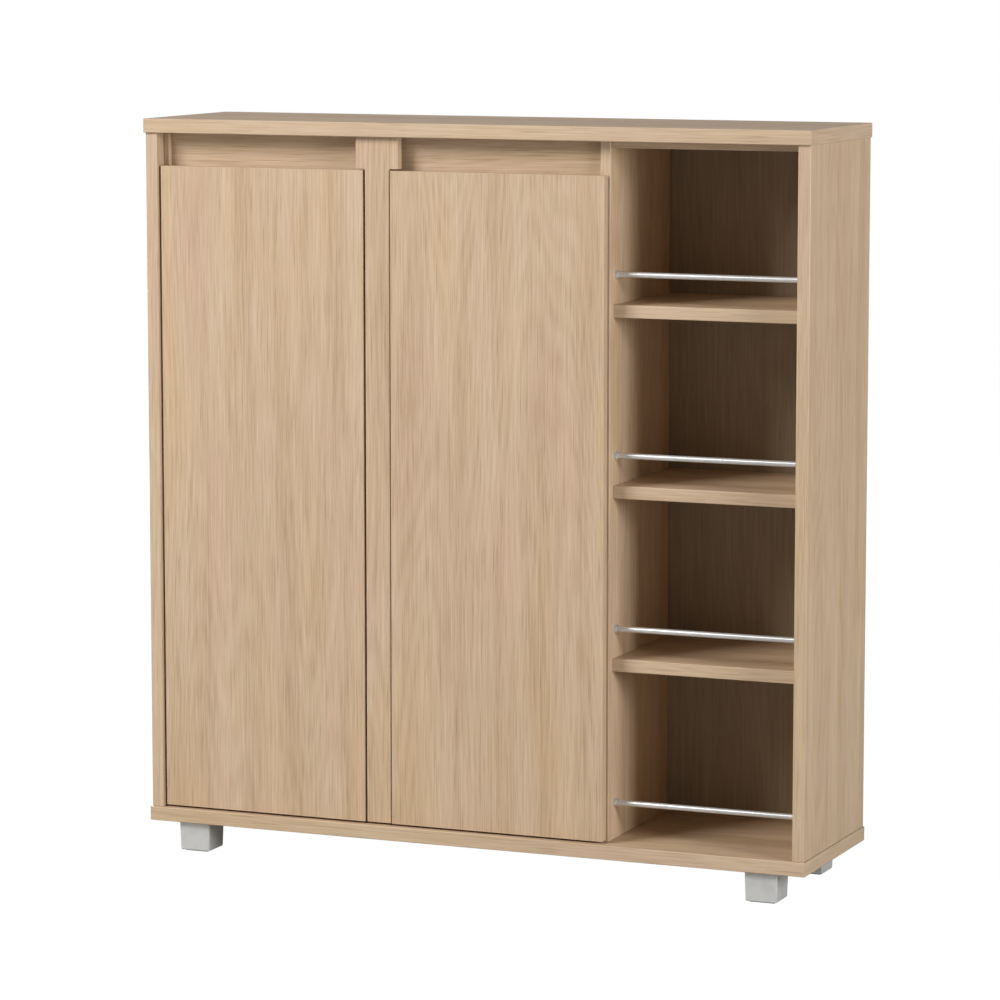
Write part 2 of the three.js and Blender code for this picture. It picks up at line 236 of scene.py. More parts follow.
@dataclass(frozen=True)
class OakPrint:
    """Melamine paper with a printed light oak, pressed onto chipboard with a shallow pore relief.

    The eye sees long soft streaks a few millimetres wide, wide bands of a warmer and a greyer tone, and
    fine dark pores. The surface is matt, and the pores are a little rougher than the rest.
    """

    name: str
    pale: str = "#D6BEA2"
    honey: str = "#C6AB8D"
    brown: str = "#AB8C6A"
    rosy: str = "#C6A48C"
    gold: str = "#CBAC83"
    pore: str = "#86694B"
    contrast: float = 1.0
    roughness: float = 0.46
    streak_mm: float = 2.1
    hair_mm: float = 1.2
    pore_mm: float = 1.4  # real pores are 0.2 mm wide, drawn coarser so that they show
    relief_mm: float = 0.05
    ring_turns: float = 230.0
    tone_share: float = 0.52
    ring_share: float = 0.07
    streak_share: float = 0.62
    hair_share: float = 0.44
    ink: float = 0.42

    def material(self) -> bpy.types.Material:
        """Builds the material."""
        nodes = Nodes(self.name)
        place = add_node(nodes.tree, "Attribute", {"attribute_name": GRAIN, "attribute_type": "GEOMETRY"})
        bent = self._bent(nodes, place.outputs["Vector"])
        streak = self._noise(nodes, bent, along=7, across=1000 / self.streak_mm, detail=4)
        layers = (
            (self._noise(nodes, bent, along=1.4, across=30, detail=3), self.tone_share),
            (self._arches(nodes, bent), self.ring_share),
            (streak, self.streak_share),
            (self._noise(nodes, bent, along=20, across=1000 / self.hair_mm, detail=2), self.hair_share),
        )
        level = 0.5 - 0.5 * sum(weight for _, weight in layers)
        for layer, weight in layers:
            level = nodes.scaled(layer, weight, level)
        colour = self._tinted(nodes, bent, self._toned(nodes, level))
        pores = self._noise(nodes, bent, along=13, across=1000 / self.pore_mm, detail=1)
        pore = nodes.share(pores, 0.61, 0.72)
        inked = nodes.mix(nodes.scaled(pore, self.ink * self.contrast), colour, self.pore)
        worn = nodes.scaled(streak, 0.10, self.roughness - 0.05)
        rough = nodes.scaled(pore, 0.12, worn)
        return nodes.finish(inked, rough, nodes.scaled(pore, -1.0, streak), 0.35, self.relief_mm)

    def _toned(self, nodes: Nodes, level: Socket) -> Socket:
        """Turns a level into the print's colours.

        Args:
            nodes: the material.
            level: pale where it is low and brown where it is high, around 0.5.

        Returns:
            The colour.
        """
        ramp = add_node(nodes.tree, "ValToRGB", links={"Fac": level})
        stops = ramp.color_ramp.elements
        stops[0].position, stops[0].color = 0.5 - 0.27 / self.contrast, linear(self.pale)
        stops[1].position, stops[1].color = 0.5 + 0.30 / self.contrast, linear(self.brown)
        stops.new(0.5).color = linear(self.honey)
        return ramp.outputs["Color"]

    def _tinted(self, nodes: Nodes, coords: Socket, colour: Socket) -> Socket:
        """Turns wide bands of the print rosier and others more golden, and keeps their light and dark.

        Args:
            nodes: the material.
            coords: the bent coordinates.
            colour: the print's colour.

        Returns:
            The tinted colour.
        """
        blush = self._noise(nodes, coords, along=2.2, across=14, detail=2)
        for tint, most in ((self.rosy, 0.8), (self.gold, 0.2)):
            colour = nodes.mix(nodes.share(blush, 0.5, most, 0.7), colour, tint, "COLOR")
        return colour

    def _bent(self, nodes: Nodes, coords: Socket) -> Socket:
        """Bends the grain a few millimetres to and fro, as a sawn log's does.

        Args:
            nodes: the material.
            coords: straight coordinates, along the grain first.

        Returns:
            The bent coordinates.
        """
        sway = self._noise(nodes, coords, along=1.3, across=8, detail=2)
        across = add_node(nodes.tree, "CombineXYZ", links={"Y": nodes.scaled(sway, 14 * MM, -7 * MM)})
        links = {0: coords, 1: across.outputs[0]}
        return add_node(nodes.tree, "VectorMath", {"operation": "ADD"}, links).outputs[0]

    def _noise(self, nodes: Nodes, coords: Socket, along: float, across: float, detail: float) -> Socket:
        """One layer of noise, drawn out along the grain.

        Args:
            nodes: the material.
            coords: coordinates in metres, along the grain first.
            along: waves per metre along the grain.
            across: waves per metre across it.
            detail: finer layers on top.

        Returns:
            The noise, around 0.5.
        """
        return nodes.noise(coords, (along, across, 1.0), detail, roughness=0.55)

    def _arches(self, nodes: Nodes, coords: Socket) -> Socket:
        """Growth rings, which show as tall arches where the print follows a plain-sawn plank.

        Args:
            nodes: the material.
            coords: the bent coordinates.

        Returns:
            A wave between 0 and 1.
        """
        hill = self._noise(nodes, coords, along=0.7, across=6.5, detail=1)
        turns = nodes.scaled(hill, self.ring_turns)
        wave = add_node(nodes.tree, "Math", {"operation": "SINE"}, {0: turns})
        return nodes.scaled(wave.outputs[0], 0.5, 0.5)


@dataclass(frozen=True)
class BareChipboard:
    """Sawn chipboard: wood flakes of every brown, pressed flat, with small gaps between them.

    Seen only where a board has no band, such as its back edge and the hinge bores.
    """

    name: str = "Chipboard, sawn edge"
    flake: str = "#B99468"
    shade: str = "#7D5C3B"
    flake_mm: float = 2.2
    roughness: float = 0.85

    def material(self) -> bpy.types.Material:
        """Builds the material."""
        nodes = Nodes(self.name)
        coords = nodes.coordinates()
        settings = {"Scale": 1000 / self.flake_mm, "Randomness": 1.0}
        flakes = add_node(nodes.tree, "TexVoronoi", settings, {"Vector": coords})
        tone = add_node(nodes.tree, "RGBToBW", links={0: flakes.outputs["Color"]})
        links = {0: tone.outputs[0], 1: nodes.noise(coords, 900.0, 4.0)}
        level = add_node(nodes.tree, "Math", {"operation": "MULTIPLY"}, links).outputs[0]
        colour = nodes.mix(nodes.share(level, 0.08, 0.45), self.shade, self.flake)
        return nodes.finish(colour, self.roughness, level, 0.6, 0.2)


@dataclass(frozen=True)
class BareHardboard:
    """The rough side of hardboard: brown felted fibre that keeps the print of the press's wire screen."""

    name: str = "Hardboard, wire-screened back"
    fibre: str = "#A17C57"
    dark: str = "#7B5B3D"
    screen_mm: float = 2.4  # a real screen is about 1.3 mm, drawn coarser so that it shows
    roughness: float = 0.8

    def material(self) -> bpy.types.Material:
        """Builds the material."""
        nodes = Nodes(self.name)
        coords = nodes.coordinates()
        fuzz = nodes.noise(coords, 420.0, 6.0)
        level = nodes.scaled(nodes.noise(coords, 9.0, 3.0), 0.35, fuzz)
        colour = nodes.mix(nodes.share(level, 0.5, 0.85), self.dark, self.fibre)
        settings = {"distance": "CHEBYCHEV", "Scale": 1000 / self.screen_mm, "Randomness": 0.0}
        screen = add_node(nodes.tree, "TexVoronoi", settings, {"Vector": coords})
        height = nodes.scaled(screen.outputs[0], 0.6, fuzz)
        return nodes.finish(colour, self.roughness, height, 0.5, 0.25)


class Lay(Enum):
    """Which way the fine lines of a metal's finish run."""

    ALONG_X = (12.0, 900.0, 900.0)
    ALONG_Z = (900.0, 900.0, 12.0)
    EVEN = (500.0, 500.0, 500.0)


@dataclass(frozen=True)
class Metal:
    """A metal or a plated finish: a clean surface broken by fine lines and smudges.

    The lines give a streaked highlight, and the smudges make it uneven, as handling does.
    """

    name: str
    colour: str
    stain: str
    roughness: float
    lay: Lay = Lay.EVEN
    line_depth_mm: float = 0.004
    smudge: float = 0.08
    metallic: float = 1.0

    def material(self) -> bpy.types.Material:
        """Builds the material."""
        nodes = Nodes(self.name)
        coords = nodes.coordinates()
        lines = nodes.noise(coords, self.lay.value, 3.0)
        stained = nodes.share(nodes.noise(coords, 55.0, 4.0), 0.45, 0.75)
        colour = nodes.mix(stained, self.colour, self.stain)
        rough = nodes.scaled(stained, self.smudge, self.roughness - 0.3 * self.smudge)
        nodes.shader.inputs["Metallic"].default_value = self.metallic
        lined = nodes.scaled(lines, self.smudge, rough)
        return nodes.finish(colour, lined, lines, 0.3, self.line_depth_mm)


@dataclass(frozen=True)
class Moulded:
    """A moulded plastic: an even colour under a fine spark-eroded grain, with dust in soft patches."""

    name: str
    colour: str
    dust: str
    roughness: float = 0.5
    grain_mm: float = 0.7
    clearness: float = 0.0

    def material(self) -> bpy.types.Material:
        """Builds the material."""
        nodes = Nodes(self.name)
        coords = nodes.coordinates()
        grain = nodes.noise(coords, 1000 / self.grain_mm, 3.0)
        dusty = nodes.share(nodes.noise(coords, 70.0, 4.0), 0.45, 0.8, 0.6)
        colour = nodes.mix(dusty, self.colour, self.dust)
        rough = nodes.scaled(grain, 0.15, self.roughness - 0.07)
        nodes.shader.inputs["Transmission Weight"].default_value = self.clearness
        return nodes.finish(colour, rough, grain, 0.25, 0.03)


class Finish(Enum):
    """Every finish on the cabinet."""

    # Doors carry the clearest print, because they are the face of the cabinet.
    OAK_DOOR = OakPrint("Melamine, oak print, doors")
    OAK_BOARD = OakPrint("Melamine, oak print, boards", roughness=0.48)
    # Inside boards carry a plainer and slightly darker print.
    OAK_INSIDE = OakPrint(
        "Melamine, oak print, inside",
        pale="#C8AE91",
        honey="#B99C7D",
        brown="#A28363",
        rosy="#B6957C",
        gold="#BB9C73",
        contrast=0.8,
        roughness=0.5,
    )
    # ABS band, printed to match and ironed round the edges, a little smoother than the boards.
    OAK_BAND = OakPrint(
        "ABS edge band, oak print",
        pale="#D5BDA2",
        honey="#C7AD8F",
        brown="#B09272",
        rosy="#C5A58D",
        gold="#CBAE85",
        contrast=0.9,
        roughness=0.4,
        streak_mm=2.0,
    )
    # Painted and printed face of the hardboard backs, flatter than melamine. Its colours are darker and
    # greyer than the boards' print: partly the backing's own print, partly painted shade standing in for the
    # shade that falls deep inside the cabinet.
    OAK_BACKING = OakPrint(
        "Hardboard, printed oak face, darkened as painted shade",
        pale="#A6967E",
        honey="#938269",
        brown="#7D6D56",
        rosy="#8F7B67",
        gold="#968364",
        contrast=0.7,
        roughness=0.62,
        relief_mm=0.02,
    )
    CHIPBOARD = BareChipboard()
    HARDBOARD = BareHardboard()
    # Satin chrome over drawn steel tube: a broad white highlight, with faint lines along the tube.
    CHROME = Metal(
        "Satin chrome on drawn steel tube", "#DCDCDA", "#CBCBC8", 0.32, Lay.ALONG_X, smudge=0.05, metallic=0.6
    )
    # Die-cast zinc under a silver lacquer: an even pale grey with a soft highlight.
    SATIN = Metal(
        "Zinc casting, silver lacquer", "#DDDDDA", "#CFCFCB", 0.42, Lay.EVEN, smudge=0.06, metallic=0.5
    )
    # Nickel over pressed steel: slightly yellow, with the press's fine marks.
    NICKEL = Metal(
        "Nickel plate on pressed steel", "#D6D3CA", "#BBB7AC", 0.33, Lay.ALONG_Z, metallic=0.75
    )
    # Blue-white zinc on screws.
    ZINC = Metal("Zinc plate on screws", "#C8CAC9", "#9C9D99", 0.35, Lay.EVEN, metallic=0.8)
    NYLON = Moulded("Nylon, moulded glide", "#C9C5BB", "#8C877B", 0.55)
    CAP = Moulded("Polypropylene, moulded cap", "#CDB28F", "#B79A76", 0.45)
    POLYURETHANE = Moulded("Polyurethane, cast clear dot", "#E6E6E0", "#C9C8C0", 0.35, clearness=0.5)

    def material(self) -> bpy.types.Material:
        """The finish's material, made once."""
        found = bpy.data.materials.get(self.value.name)
        return found or self.value.material()


# ---- Pieces ----


def finish_piece(
    mesh: Mesh,
    name: str,
    finishes: list[Finish],
    body: str | None,
    stands_for: tuple[str, ...] = (),
) -> Piece:
    """Turns a mesh into a piece that rides on a body, and reports it.

    Args:
        mesh: the finished shape, in the cabinet's frame.
        name: the piece's name.
        finishes: one finish for each material index.
        body: the body that it rides on, or None for a piece that bends between two.
        stands_for: the CAD nodes that it replaces.

    Returns:
        The piece.
    """
    data = bpy.data.meshes.new(name)
    mesh.to_mesh(data)
    mesh.free()
    for finish in finishes:
        data.materials.append(finish.material())
    piece = bpy.data.objects.new(name, data)
    bpy.context.scene.collection.objects.link(piece)
    if body:
        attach(piece, body)
    if stands_for:
        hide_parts(*stands_for)
    log.info("%s: %d faces on %s", name, len(data.polygons), body or "two bodies")
    return piece


def merged_copy(node: str) -> Mesh:
    """A clean copy of a CAD node.

    Args:
        node: the CAD node.

    Returns:
        Its mesh with doubles merged and flat triangles joined.
    """
    mesh = bmesh.new()
    mesh.from_mesh(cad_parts[node].data)
    bmesh.ops.remove_doubles(mesh, verts=mesh.verts, dist=0.001 * MM)
    bmesh.ops.dissolve_limit(mesh, angle_limit=math.radians(0.5), verts=mesh.verts, edges=mesh.edges)
    return mesh


def round_edges(mesh: Mesh, radius: float, segments: int, sharper_than: float = 30.0) -> None:
    """Rounds the sharp edges of a mesh, and shades only the rounding smooth.

    Args:
        mesh: the mesh, changed in place.
        radius: the rounding, in metres.
        segments: its steps.
        sharper_than: the least angle of an edge that is rounded, in degrees.
    """
    limit = math.radians(sharper_than)
    sharp = [e for e in mesh.edges if len(e.link_faces) == 2 and e.calc_face_angle() > limit]
    made = bmesh.ops.bevel(
        mesh,
        geom=sharp,
        offset=radius,
        segments=segments,
        profile=0.5,
        affect="EDGES",
        material=-1,
        clamp_overlap=True,
    )
    for face in made["faces"]:
        face.smooth = True


def settle(mesh: Mesh, known: set[Face], place: Matrix, slot: int = 0) -> list[Face]:
    """Turns what was added to a mesh outwards and moves it into its place.

    Args:
        mesh: the mesh.
        known: the faces that were there before.
        place: where the added shape goes.
        slot: its material index.

    Returns:
        The added faces.
    """
    faces = [f for f in mesh.faces if f not in known]
    bmesh.ops.recalc_face_normals(mesh, faces=faces)
    bmesh.ops.transform(mesh, matrix=place, verts=list({v for f in faces for v in f.verts}))
    for face in faces:
        face.material_index = slot
    return faces


def spun(mesh: Mesh, profile: list[tuple[float, float]], place: Matrix, steps: int) -> None:
    """Turns a profile about its own Z axis into a closed round shape.

    Args:
        mesh: the mesh that gets the shape.
        profile: radius and height of each point, in metres.
        place: where the shape goes.
        steps: faces round it.
    """
    verts = [mesh.verts.new((r, 0.0, h)) for r, h in profile]
    edges = [mesh.edges.new(pair) for pair in zip(verts, verts[1:])]
    known = set(mesh.faces)
    bmesh.ops.spin(
        mesh,
        geom=[*verts, *edges],
        cent=(0, 0, 0),
        axis=(0, 0, 1),
        dvec=(0, 0, 0),
        angle=2 * math.pi,
        steps=steps,
        use_merge=True,
    )
    faces = [f for f in mesh.faces if f not in known]
    points = list({v for f in faces for v in f.verts})
    bmesh.ops.remove_doubles(mesh, verts=points, dist=0.001 * MM)
    faces = settle(mesh, known, place)
    for face in faces:
        face.smooth = True
    mark_creases(faces)


def mark_creases(faces: list[Face], sharper_than: float = 35.0) -> None:
    """Keeps the folds of a smooth-shaded shape crisp.

    Args:
        faces: the shape's faces.
        sharper_than: the least angle of a fold, in degrees.
    """
    limit = math.radians(sharper_than)
    for edge in {e for f in faces for e in f.edges}:
        if len(edge.link_faces) == 2 and edge.calc_face_angle() > limit:
            edge.smooth = False


def boxed(mesh: Mesh, low: Vector, high: Vector) -> list[bmesh.types.BMVert]:
    """Adds a plain box.

    Args:
        mesh: the mesh that gets the box.
        low: its lowest corner.
        high: its highest corner.

    Returns:
        Its vertices.
    """
    place = Matrix.Translation((low + high) / 2) @ Matrix.Diagonal((*(high - low), 1.0))
    return bmesh.ops.create_cube(mesh, size=1.0, matrix=place)["verts"]


def facing(origin: Vector, out: Vector, up: Vector = Vector((0, 0, 1))) -> Matrix:
    """A place whose own Z points outwards.

    Args:
        origin: the place's origin.
        out: the direction of its Z.
        up: the direction that its Y is nearest to.

    Returns:
        The matrix from the place's own axes to the cabinet's.
    """
    z = out.normalized()
    y = (up - up.dot(z) * z).normalized() if abs(up.dot(z)) < 0.99 else Vector((0, 1, 0))
    x = y.cross(z)
    turn = Matrix((x, y, z)).transposed().to_4x4()
    return Matrix.Translation(origin) @ turn


@dataclass(frozen=True)
class CrossScrew:
    """A screw's head with a cross recess, standing on a surface."""

    head: float = 7 * MM
    height: float = 1.8 * MM
    recess: float = 1.1 * MM
    steps: int = 24  # a cross needs six steps to a quarter turn

    def add(self, mesh: Mesh, at: Vector, out: Vector, turn: float, slot: int) -> None:
        """Adds the head to a mesh.

        Args:
            mesh: the mesh that gets the head.
            at: the point on the surface under its middle.
            out: the surface's normal.
            turn: how far the cross is turned, in degrees.
            slot: its material index.
        """
        radius = self.head / 2
        known = set(mesh.faces)
        bmesh.ops.create_circle(mesh, cap_ends=True, radius=radius, segments=self.steps)
        (cap,) = [f for f in mesh.faces if f not in known]
        raised = bmesh.ops.extrude_face_region(mesh, geom=[cap])["geom"]
        (rise,) = [g for g in raised if isinstance(g, Face)]
        for vert in rise.verts:
            vert.co.xy *= 0.97
            vert.co.z += self.height * 0.55
        top = self._inset_step(mesh, rise, lift=self.height * 0.45, shrink=0.72)
        hollow = self._inset_step(mesh, top, lift=0.0, shrink=0.8)
        for vert in hollow.verts:
            angle = math.degrees(math.atan2(vert.co.y, vert.co.x)) % 90
            near = min(angle, 90 - angle)
            reach = radius * (0.52 if near < 16 else 0.2)
            vert.co.xy = vert.co.xy.normalized() * reach
        self._inset_step(mesh, hollow, lift=-self.recess, shrink=0.82)
        spin = Matrix.Rotation(math.radians(turn), 4, "Z")
        settle(mesh, known, facing(at, out) @ spin, slot)

    def _inset_step(
        self, mesh: Mesh, face: Face, lift: float, shrink: float
    ) -> Face:
        """Sets a smaller copy of a face into it and moves it up or down.

        Args:
            mesh: the head's mesh.
            face: the face.
            lift: how far the inner face moves.
            shrink: its size over the outer face's.

        Returns:
            The inner face.
        """
        bmesh.ops.inset_individual(mesh, faces=[face], thickness=1e-7, use_even_offset=False)
        for vert in face.verts:
            vert.co.xy *= shrink
            vert.co.z += lift
        return face


# ---- Boards ----


class Side(Enum):
    """The six faces of a board: the axis that a face looks along, and its sign."""

    LEFT = (0, -1)
    RIGHT = (0, 1)
    FRONT = (1, -1)
    BACK = (1, 1)
    BOTTOM = (2, -1)
    TOP = (2, 1)


class Axis(Enum):
    """An axis of the cabinet's frame."""

    X = 0
    Y = 1
    Z = 2


@dataclass
class Board:
    """One board, rebuilt from its CAD node with rounded edges, edge bands and grain."""

    node: str
    along: Axis
    seed: int
    face: Finish = Finish.OAK_BOARD
    band: Finish = Finish.OAK_BAND
    slot: str = "oak_board"
    body: str = "carcass"
    bare: tuple[Side, ...] = ()
    ease: float = 0.35 * MM
    band_thickness: float = 1 * MM
    low: Vector = field(init=False)
    high: Vector = field(init=False)

    def __post_init__(self) -> None:
        """Reads the board's box."""
        self.low, self.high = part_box(self.node)

    @property
    def thin(self) -> int:
        """The axis of the board's thickness."""
        size = self.high - self.low
        return min(range(3), key=lambda axis: size[axis])

    def build(self) -> Piece:
        """Builds and dresses the board."""
        mesh = merged_copy(self.node)
        self._cut_bands(mesh)
        round_edges(mesh, self.ease, 2)
        for face in mesh.faces:
            face.material_index = self._finish_of(face)
        self._lay_grain(mesh)
        finishes = [self.face, self.band, Finish.CHIPBOARD]
        return finish_piece(mesh, f"{self.node}_dressed", finishes, self.body, (self.node,))

    def _cut_bands(self, mesh: Mesh) -> None:
        """Cuts the wide faces where each edge band ends.

        Args:
            mesh: the board's mesh.
        """
        for side in Side:
            axis, sign = side.value
            if axis == self.thin or side in self.bare:
                continue
            edge = self.high if sign > 0 else self.low
            normal = Vector([1.0 if i == axis else 0.0 for i in range(3)])
            bmesh.ops.bisect_plane(
                mesh,
                geom=[*mesh.verts, *mesh.edges, *mesh.faces],
                dist=0.0001 * MM,
                plane_co=edge - normal * sign * self.band_thickness,
                plane_no=normal,
            )

    def _finish_of(self, face: Face) -> int:
        """The material index of one face.

        Args:
            face: a face of the board.

        Returns:
            0 on the printed faces, 1 on the bands and 2 on bare chipboard.
        """
        middle = face.calc_center_median()
        axis = max(range(3), key=lambda i: abs(face.normal[i]))
        inside = 1.6 * MM
        deep = all(self.low[i] + inside < middle[i] < self.high[i] - inside for i in range(3))
        if deep:
            return 2
        for side in Side:
            way, sign = side.value
            if way == self.thin:
                continue
            edge = self.high[way] if sign > 0 else self.low[way]
            if side in self.bare:
                if axis == way and face.normal[way] * sign > 0.8:
                    return 2
            elif abs(middle[way] - edge) < self.band_thickness:
                return 1
        return 0

    def _lay_grain(self, mesh: Mesh) -> None:
        """Writes the grain's coordinates on every face corner.

        Args:
            mesh: the board's mesh.
        """
        layer = mesh.loops.layers.float_vector.new(GRAIN)
        size = self.high - self.low
        for face in mesh.faces:
            across_face = max(range(3), key=lambda i: abs(face.normal[i]))
            plane = [i for i in range(3) if i != across_face]
            first = self.along.value
            if first not in plane:
                first = max(plane, key=lambda i: size[i])
            second = plane[0] if plane[1] == first else plane[1]
            side = across_face * 2 + (face.normal[across_face] > 0)
            for loop in face.loops:
                point = loop.vert.co
                loop[layer] = (
                    point[first] + 3.7 * self.seed,
                    point[second] + 0.83 * self.seed,
                    11.3 * self.seed + 2.9 * side,
                )


@dataclass
class BackBoard(Board):
    """A hardboard back: printed on the inside, bare fibre on the outside and round its edges."""

    # The backing's darker print carries painted shade for the deep inside of the cabinet.
    face: Finish = Finish.OAK_BACKING
    slot: str = "back_board"

    def build(self) -> Piece:
        """Builds and dresses the back board."""
        mesh = merged_copy(self.node)
        round_edges(mesh, 0.2 * MM, 1)
        for face in mesh.faces:
            face.material_index = 0 if face.normal.y < -0.8 else 1
        self._lay_grain(mesh)
        finishes = [self.face, Finish.HARDBOARD]
        return finish_piece(mesh, f"{self.node}_dressed", finishes, self.body, (self.node,))


@dataclass
class Case:
    """The fixed boards: top, bottom, sides, uprights, stile, rail, shelves and backs."""

    screw_spacing: float = 160 * MM
    screw_from_edge: float = 6 * MM

    def build(self) -> None:
        """Builds every fixed board."""
        back = (Side.BACK,)
        hidden_ends = (Side.BACK, Side.TOP, Side.BOTTOM)
        boards = [
            Board("top_panel", Axis.X, 1, bare=back),
            Board("bottom_panel", Axis.X, 2, bare=back),
            Board("left_side_panel", Axis.Z, 3, bare=hidden_ends),
            Board("right_side_panel", Axis.Z, 4, bare=hidden_ends),
            Board("column_divider", Axis.Z, 5, bare=hidden_ends),
            Board("centre_stile", Axis.Z, 6),
            Board("stile_backer", Axis.Z, 7),
            Board("left_stop_strip", Axis.Z, 8),
            Board("finger_rail", Axis.X, 9),
            Board("column_lintel", Axis.X, 10),
            BackBoard("door_section_back", Axis.Z, 11),
            BackBoard("column_back", Axis.Z, 12),
        ]
        inside = {"face": Finish.OAK_INSIDE, "slot": "inner_board"}
        boards.append(Board("centre_partition", Axis.Z, 13, bare=hidden_ends, **inside))
        for i in (1, 2, 3):
            boards.append(Board(f"column_shelf_{i}", Axis.X, 13 + i, bare=back))
            boards.append(Board(f"left_inner_shelf_{i}", Axis.X, 16 + i, bare=back, **inside))
            boards.append(Board(f"right_inner_shelf_{i}", Axis.X, 19 + i, bare=back, **inside))
        for board in boards:
            board.build()
        self._back_screws()

    def _back_screws(self) -> None:
        """Screws the back boards into the rebates, all round."""
        mesh = bmesh.new()
        screw = CrossScrew(6.5 * MM, 1.1 * MM, 0.8 * MM)
        left_low, left_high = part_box("door_section_back")
        right_low, right_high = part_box("column_back")
        face = left_high.y
        inset = self.screw_from_edge
        spots: list[tuple[float, float]] = []
        for x in (left_low.x + inset, left_high.x - inset / 2, right_high.x - inset):
            count = round((left_high.z - left_low.z) / self.screw_spacing)
            step = (left_high.z - left_low.z - 4 * inset) / count
            spots += [(x, left_low.z + 2 * inset + i * step) for i in range(count + 1)]
        for z in (left_low.z + inset, left_high.z - inset):
            for low, high in ((left_low.x, left_high.x), (right_low.x, right_high.x)):
                count = max(2, round((high - low) / self.screw_spacing))
                step = (high - low) / count
                spots += [(low + i * step, z) for i in range(1, count)]
        for i, (x, z) in enumerate(spots):
            screw.add(mesh, Vector((x, face, z)), Vector((0, 1, 0)), 37.0 * i, 0)
        finish_piece(mesh, "back_board_screws", [Finish.ZINC], "carcass")


# ---- Column fittings ----


@dataclass
class ShoeRods:
    """Chrome rods across the column, each in two round sockets."""

    steps: int = 48
    clearance: float = 0.3 * MM

    def build(self) -> None:
        """Builds every rod and socket."""
        for i in (1, 2, 3, 4):
            self._rod(i)
            for side in ("left", "right"):
                self._socket(side, i)

    def _rod(self, number: int) -> None:
        """Builds one rod with slightly rounded ends.

        Args:
            number: which rod, from the bottom.
        """
        node = f"shoe_rod_{number}"
        low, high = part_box(node)
        middle = (low + high) / 2
        radius = (high.z - low.z) / 2
        length = high.x - low.x
        nose = 0.5 * MM
        profile = [
            (0.0, 0.0),
            (radius - nose, 0.0),
            (radius, nose),
            (radius, length - nose),
            (radius - nose, length),
            (0.0, length),
        ]
        mesh = bmesh.new()
        start = Vector((low.x, middle.y, middle.z))
        spun(mesh, profile, facing(start, Vector((1, 0, 0))), self.steps)
        finish_piece(mesh, f"{node}_plated", [Finish.CHROME], "carcass", (node,))

    def _socket(self, side: str, number: int) -> None:
        """Builds one socket: a turned collar with a rounded mouth.

        Args:
            side: left or right.
            number: which rod's, from the bottom.
        """
        node = f"rod_socket_{side}_{number}"
        low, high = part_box(node)
        middle = (low + high) / 2
        outer = (high.z - low.z) / 2
        rod_low, rod_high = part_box(f"shoe_rod_{number}")
        inner = (rod_high.z - rod_low.z) / 2 + self.clearance
        deep = high.x - low.x
        lip = 0.7 * MM
        profile = [
            (inner, 0.0),
            (outer, 0.0),
            (outer, deep - lip),
            (outer - 0.3 * lip, deep - 0.3 * lip),
            (outer - lip, deep),
            (inner + 0.4 * lip, deep),
            (inner, deep - 0.4 * lip),
            (inner, 0.0),
        ]
        out = Vector((1, 0, 0)) if side == "left" else Vector((-1, 0, 0))
        start = Vector((low.x if side == "left" else high.x, middle.y, middle.z))
        mesh = bmesh.new()
        spun(mesh, profile, facing(start, out), 32)
        finish_piece(mesh, f"{node}_turned", [Finish.CHROME], "carcass", (node,))


@dataclass
class ShelfFittings:
    """What carries the shelves: nickel pins under the loose ones, capped cams under the fixed ones."""

    pin: float = 5 * MM
    collar: float = 7.4 * MM
    reach: float = 8 * MM
    cap: float = 17 * MM
    cap_height: float = 0.9 * MM
    from_front: float = 28 * MM
    from_back: float = 32 * MM
    cap_from_end: float = 34 * MM
    cap_further_in: float = 8 * MM
    sunk: float = 0.9 * MM  # how far a pin starts beyond the shelf's end

    def build(self) -> None:
        """Builds the pins and the caps."""
        self._pins()
        self._caps()

    def _pins(self) -> None:
        """Four pins under every inner shelf."""
        for side in ("left", "right"):
            mesh = bmesh.new()
            for i in (1, 2, 3):
                low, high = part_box(f"{side}_inner_shelf_{i}")
                z = low.z - self.pin / 2
                for y in (low.y + self.from_front, high.y - self.from_back):
                    for x, out in ((low.x - self.sunk, 1), (high.x + self.sunk, -1)):
                        self._pin(mesh, Vector((x, y, z)), Vector((out, 0, 0)))
            finish_piece(mesh, f"{side}_shelf_pins", [Finish.NICKEL], "carcass")

    def _pin(self, mesh: Mesh, at: Vector, out: Vector) -> None:
        """One pin with a collar against the board and a rounded nose.

        Args:
            mesh: the mesh that gets the pin.
            at: the point where it leaves the board.
            out: the way it points.
        """
        radius = self.pin / 2
        flange = self.collar / 2
        profile = [
            (0.0, 0.0),
            (radius, 0.0),
            (radius, self.reach - 1 * MM),
            (radius - 1 * MM, self.reach),
            (0.0, self.reach),
        ]
        spun(mesh, profile, facing(at, out), 20)
        ring = [(radius, 0.1 * MM), (flange, 0.1 * MM), (flange, 0.9 * MM), (radius, 1.3 * MM)]
        spun(mesh, ring, facing(at, out), 20)

    def _caps(self) -> None:
        """Two capped cams at each end of every column shelf, on its underside."""
        mesh = bmesh.new()
        radius = self.cap / 2
        profile = [
            (0.0, self.cap_height),
            (radius - 1.4 * MM, self.cap_height),
            (radius - 0.3 * MM, 0.6 * self.cap_height),
            (radius, 0.0),
            (0.0, 0.0),
        ]
        for i in (1, 2, 3):
            low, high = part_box(f"column_shelf_{i}")
            near = low.y + self.from_front + self.cap_further_in
            far = high.y - self.from_back - self.cap_further_in
            for x in (low.x + self.cap_from_end, high.x - self.cap_from_end):
                for y in (near, far):
                    spun(mesh, profile, facing(Vector((x, y, low.z)), Vector((0, 0, -1))), 28)
        finish_piece(mesh, "cam_caps", [Finish.CAP], "carcass")


# ---- Feet ----


